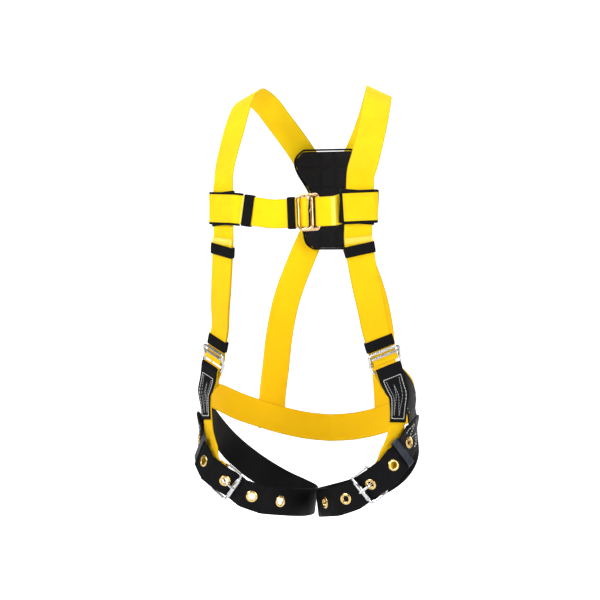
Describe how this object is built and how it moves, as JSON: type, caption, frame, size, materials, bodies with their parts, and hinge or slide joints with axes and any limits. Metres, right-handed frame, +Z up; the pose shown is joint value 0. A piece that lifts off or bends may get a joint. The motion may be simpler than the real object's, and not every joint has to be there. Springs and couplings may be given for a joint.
{
  "type": "full-body safety harness",
  "caption": "Full-body fall-arrest harness of woven webbing with a dorsal D-ring, pass-through chest buckle, hip adjusters and tongue-buckle leg straps.",
  "frame": {"origin": "outer face of the dorsal D-ring, at the bottom of its bow on the symmetry plane", "axes": "+Z up, from the legs to the shoulders; +Y out of the wearer's back, along the dorsal ring face's normal; +X to the wearer's left"},
  "size_m": [0.3696, 0.3011, 0.6949],
  "materials": {
    "black_elastic": "knitted elastic",
    "black_pad": "woven nylon over foam",
    "black_plastic": "moulded, satin",
    "black_webbing": "tight woven polyester",
    "brass": "polished brass",
    "bright_steel": "bright plated forged steel",
    "gold_zinc": "yellow passivated steel",
    "yellow_webbing": "tight woven polyester"
  },
  "bodies": {
    "webbing": {"chest_buckle_frame": "gold_zinc", "chest_sleeve_left": "black_pad", "chest_sleeve_right": "black_pad", "chest_strap_left": "yellow_webbing", "chest_strap_right": "yellow_webbing", "dorsal_guide_lower_left": "black_plastic", "dorsal_guide_lower_right": "black_plastic", "dorsal_guide_upper_left": "black_plastic", "dorsal_guide_upper_right": "black_plastic", "dorsal_pad": "black_pad", "hip_adjuster_frame_left": "bright_steel", "hip_adjuster_frame_right": "bright_steel", "shoulder_strap_left": "yellow_webbing", "shoulder_strap_right": "yellow_webbing", "sub_pelvic_strap": "yellow_webbing"},
    "leg_loop_left": {"buckle_strap_left": "yellow_webbing", "hip_patch_left": "black_webbing", "leg_strap_left": "black_webbing", "leg_buckle_frame_left": "bright_steel", "eyelet_left_1": "brass", "eyelet_left_2": "brass", "eyelet_left_3": "brass", "eyelet_left_4": "brass", "eyelet_left_5": "brass"},
    "hip_adjuster_bar_left": {"hip_adjuster_bar_left": "bright_steel"},
    "hip_keeper_left": {"hip_keeper_left": "black_elastic"},
    "torso_keeper_left": {"torso_keeper_left": "black_elastic"},
    "leg_buckle_tongue_left": {"leg_buckle_tongue_left": "bright_steel"},
    "leg_buckle_roller_left": {"leg_buckle_roller_left": "bright_steel"},
    "leg_tail_keeper_left": {"leg_tail_keeper_left": "black_plastic"},
    "leg_loop_right": {"buckle_strap_right": "yellow_webbing", "hip_patch_right": "black_webbing", "leg_strap_right": "black_webbing", "leg_buckle_frame_right": "bright_steel", "eyelet_right_1": "brass", "eyelet_right_2": "brass", "eyelet_right_3": "brass", "eyelet_right_4": "brass", "eyelet_right_5": "brass"},
    "hip_adjuster_bar_right": {"hip_adjuster_bar_right": "bright_steel"},
    "hip_keeper_right": {"hip_keeper_right": "black_elastic"},
    "torso_keeper_right": {"torso_keeper_right": "black_elastic"},
    "leg_buckle_tongue_right": {"leg_buckle_tongue_right": "bright_steel"},
    "leg_buckle_roller_right": {"leg_buckle_roller_right": "bright_steel"},
    "leg_tail_keeper_right": {"leg_tail_keeper_right": "black_plastic"},
    "chest_keeper_inner": {"chest_keeper_inner": "black_elastic"},
    "chest_keeper_outer": {"chest_keeper_outer": "black_elastic"},
    "chest_buckle_link": {"chest_buckle_link": "gold_zinc"},
    "dorsal_d_ring": {"dorsal_d_ring": "bright_steel"}
  },
  "joints": [
    {"name": "dorsal_ring_pivot", "type": "hinge", "parent": "webbing", "child": "dorsal_d_ring", "pos_m": [0, -0.0231, 0.076], "axis": [1, 0, 0], "range_deg": [0, 75]},
    {"name": "chest_link_tilt", "type": "hinge", "parent": "webbing", "child": "chest_buckle_link", "pos_m": [0.0305, -0.2963, 0.04552], "axis": [-0.04, 0, 0.9992], "range_deg": [0, 10]},
    {"name": "chest_keeper_inner_slide", "type": "slide", "parent": "webbing", "child": "chest_keeper_inner", "axis": [0.9992, 0, 0.04], "range_m": [-0.012, 0]},
    {"name": "chest_keeper_outer_slide", "type": "slide", "parent": "webbing", "child": "chest_keeper_outer", "axis": [0.9899, -0.0344, -0.1377], "range_m": [-0.002, 0.006]},
    {"name": "leg_loop_left_swing", "type": "hinge", "parent": "webbing", "child": "leg_loop_left", "pos_m": [0.14213, -0.22023, -0.19459], "axis": [-0.7362, -0.5928, -0.3265], "range_deg": [0, 40]},
    {"name": "hip_adjuster_bar_left_slide", "type": "slide", "parent": "webbing", "child": "hip_adjuster_bar_left", "axis": [-0.25, -0.21, 0.9452], "range_m": [-0.0003, 0.0015]},
    {"name": "hip_keeper_left_slide", "type": "slide", "parent": "webbing", "child": "hip_keeper_left", "axis": [-0.25, -0.21, 0.9452], "range_m": [-0.001, 0.003]},
    {"name": "torso_keeper_left_slide", "type": "slide", "parent": "webbing", "child": "torso_keeper_left", "axis": [-0.1122, -0.2221, 0.9686], "range_m": [-0.004, 0.002]},
    {"name": "leg_tongue_left_pivot", "type": "hinge", "parent": "leg_loop_left", "child": "leg_buckle_tongue_left", "pos_m": [0.12754, -0.22798, -0.3666], "axis": [-0.5884, -0.2041, 0.7824], "range_deg": [0, 4]},
    {"name": "leg_roller_left_spin", "type": "hinge", "parent": "leg_loop_left", "child": "leg_buckle_roller_left", "pos_m": [0.104, -0.2307, -0.385], "axis": [-0.5884, -0.2041, 0.7824], "continuous": true},
    {"name": "leg_tail_keeper_left_slide", "type": "slide", "parent": "leg_loop_left", "child": "leg_tail_keeper_left", "axis": [0.316, 0.7103, 0.629], "range_m": [-0.002, 0]},
    {"name": "leg_loop_right_swing", "type": "hinge", "parent": "webbing", "child": "leg_loop_right", "pos_m": [-0.14213, -0.22023, -0.19459], "axis": [-0.7362, 0.5928, 0.3265], "range_deg": [0, 40]},
    {"name": "hip_adjuster_bar_right_slide", "type": "slide", "parent": "webbing", "child": "hip_adjuster_bar_right", "axis": [0.25, -0.21, 0.9452], "range_m": [-0.0003, 0.0015]},
    {"name": "hip_keeper_right_slide", "type": "slide", "parent": "webbing", "child": "hip_keeper_right", "axis": [0.25, -0.21, 0.9452], "range_m": [-0.001, 0.003]},
    {"name": "torso_keeper_right_slide", "type": "slide", "parent": "webbing", "child": "torso_keeper_right", "axis": [0.1122, -0.2221, 0.9686], "range_m": [-0.004, 0.002]},
    {"name": "leg_tongue_right_pivot", "type": "hinge", "parent": "leg_loop_right", "child": "leg_buckle_tongue_right", "pos_m": [-0.12754, -0.22798, -0.3666], "axis": [-0.5884, 0.2041, -0.7824], "range_deg": [0, 4]},
    {"name": "leg_roller_right_spin", "type": "hinge", "parent": "leg_loop_right", "child": "leg_buckle_roller_right", "pos_m": [-0.104, -0.2307, -0.385], "axis": [-0.5884, 0.2041, -0.7824], "continuous": true},
    {"name": "leg_tail_keeper_right_slide", "type": "slide", "parent": "leg_loop_right", "child": "leg_tail_keeper_right", "axis": [-0.316, 0.7103, 0.629], "range_m": [-0.002, 0]}
  ]
}
